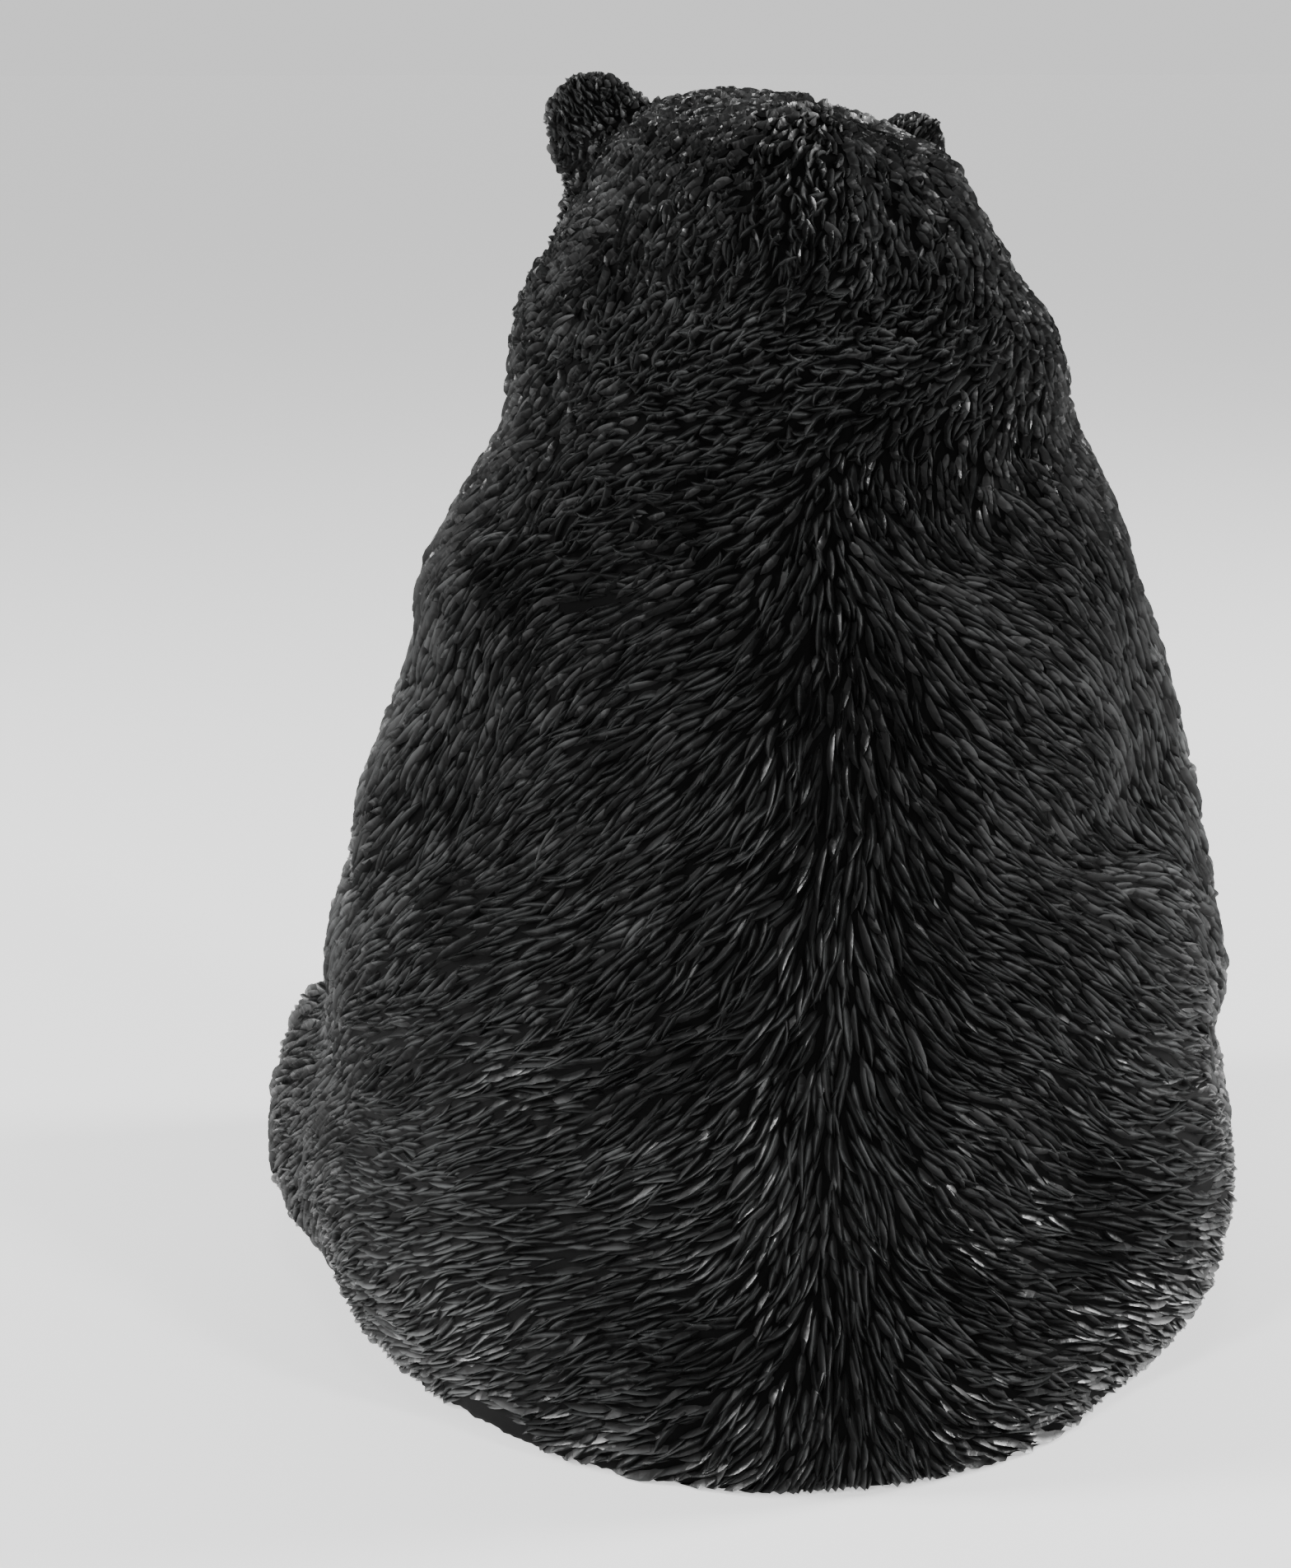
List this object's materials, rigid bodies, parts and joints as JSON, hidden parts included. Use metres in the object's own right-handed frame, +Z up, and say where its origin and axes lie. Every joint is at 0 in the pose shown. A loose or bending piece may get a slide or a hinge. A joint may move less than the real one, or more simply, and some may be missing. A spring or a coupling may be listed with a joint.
{
  "type": "seated bear statue",
  "caption": "Seated bear ornament with carved shaggy fur all over, upright on its rump with its hind feet out in front, on a flat underside.",
  "frame": {"origin": "on the flat underside, below the middle of the statue's box", "axes": "+Z up through the head, -Y the way the bear faces, +X towards the bear's left"},
  "size_m": [0.4236, 0.4134, 0.5064],
  "materials": {
    "black_paint": "cast resin under satin black paint, a little greyer where the ridges of the fur are rubbed"
  },
  "bodies": {
    "root": {"bear": "black_paint"}
  },
  "joints": []
}
